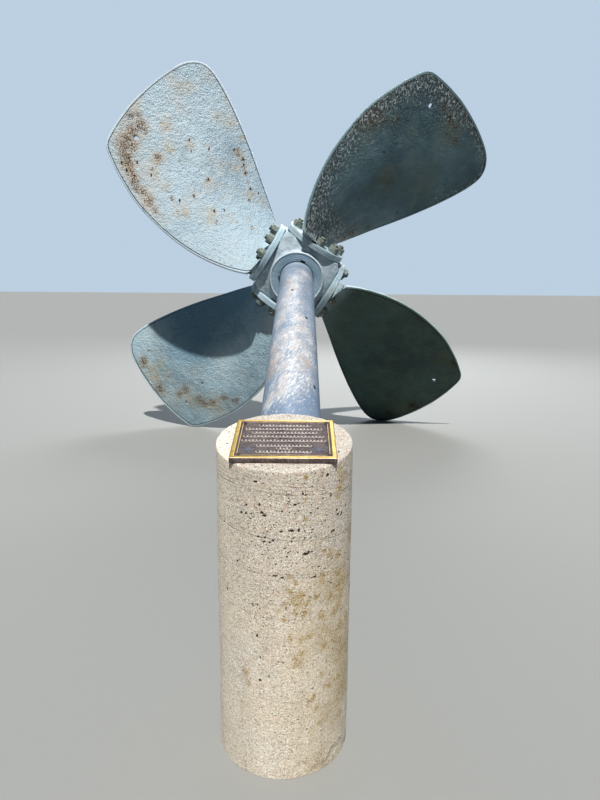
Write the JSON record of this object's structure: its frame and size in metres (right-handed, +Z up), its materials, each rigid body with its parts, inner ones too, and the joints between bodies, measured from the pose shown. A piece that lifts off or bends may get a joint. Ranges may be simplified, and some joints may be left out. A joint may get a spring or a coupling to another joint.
{
  "type": "ship propeller monument on its tail shaft and pier",
  "caption": "Four-bladed bolted-blade ship's propeller displayed on its sloping tail shaft, set in a concrete pier with a bronze tablet.",
  "frame": {"origin": "centre of the concrete pier's flat base, on the ground", "axes": "+Z up; +Y from the pier to the propeller, along the shaft in plan; +X to the right of a reader of the tablet"},
  "size_m": [3.6896, 5.3734, 3.5861],
  "materials": {
    "concrete": "cast concrete, weathered buff, with pores and lichen",
    "tablet_bronze": "dark patinated bronze with polished raised borders",
    "screw_brass": "polished, slightly tarnished",
    "shaft_paint": "satin blue-grey paint, worn pale in patches",
    "hub_paint": "satin blue-grey paint on a casting",
    "blade_paint": "satin blue-grey paint on a pitted casting, with rust stains",
    "weathered_steel": "weathered olive-brown"
  },
  "bodies": {
    "root": {"concrete_pier": "concrete", "tablet": "tablet_bronze", "tablet_screw_front_left": "screw_brass", "tablet_screw_front_right": "screw_brass", "tablet_screw_back_right": "screw_brass", "tablet_screw_back_left": "screw_brass", "tail_shaft": "shaft_paint", "shaft_key": "weathered_steel", "hub": "hub_paint", "propeller_nut": "weathered_steel", "blade_upper_left": "blade_paint", "blade_lower_left": "blade_paint", "blade_lower_right": "blade_paint", "blade_upper_right": "blade_paint", "stud_upper_left_1": "weathered_steel", "stud_upper_left_2": "weathered_steel", "stud_upper_left_3": "weathered_steel", "stud_upper_left_4": "weathered_steel", "stud_upper_left_5": "weathered_steel", "stud_upper_left_6": "weathered_steel", "stud_lower_left_1": "weathered_steel", "stud_lower_left_2": "weathered_steel", "stud_lower_left_3": "weathered_steel", "stud_lower_left_4": "weathered_steel", "stud_lower_left_5": "weathered_steel", "stud_lower_left_6": "weathered_steel", "stud_lower_right_1": "weathered_steel", "stud_lower_right_2": "weathered_steel", "stud_lower_right_3": "weathered_steel", "stud_lower_right_4": "weathered_steel", "stud_lower_right_5": "weathered_steel", "stud_lower_right_6": "weathered_steel", "stud_upper_right_1": "weathered_steel", "stud_upper_right_2": "weathered_steel", "stud_upper_right_3": "weathered_steel", "stud_upper_right_4": "weathered_steel", "stud_upper_right_5": "weathered_steel", "stud_upper_right_6": "weathered_steel"}
  },
  "joints": []
}
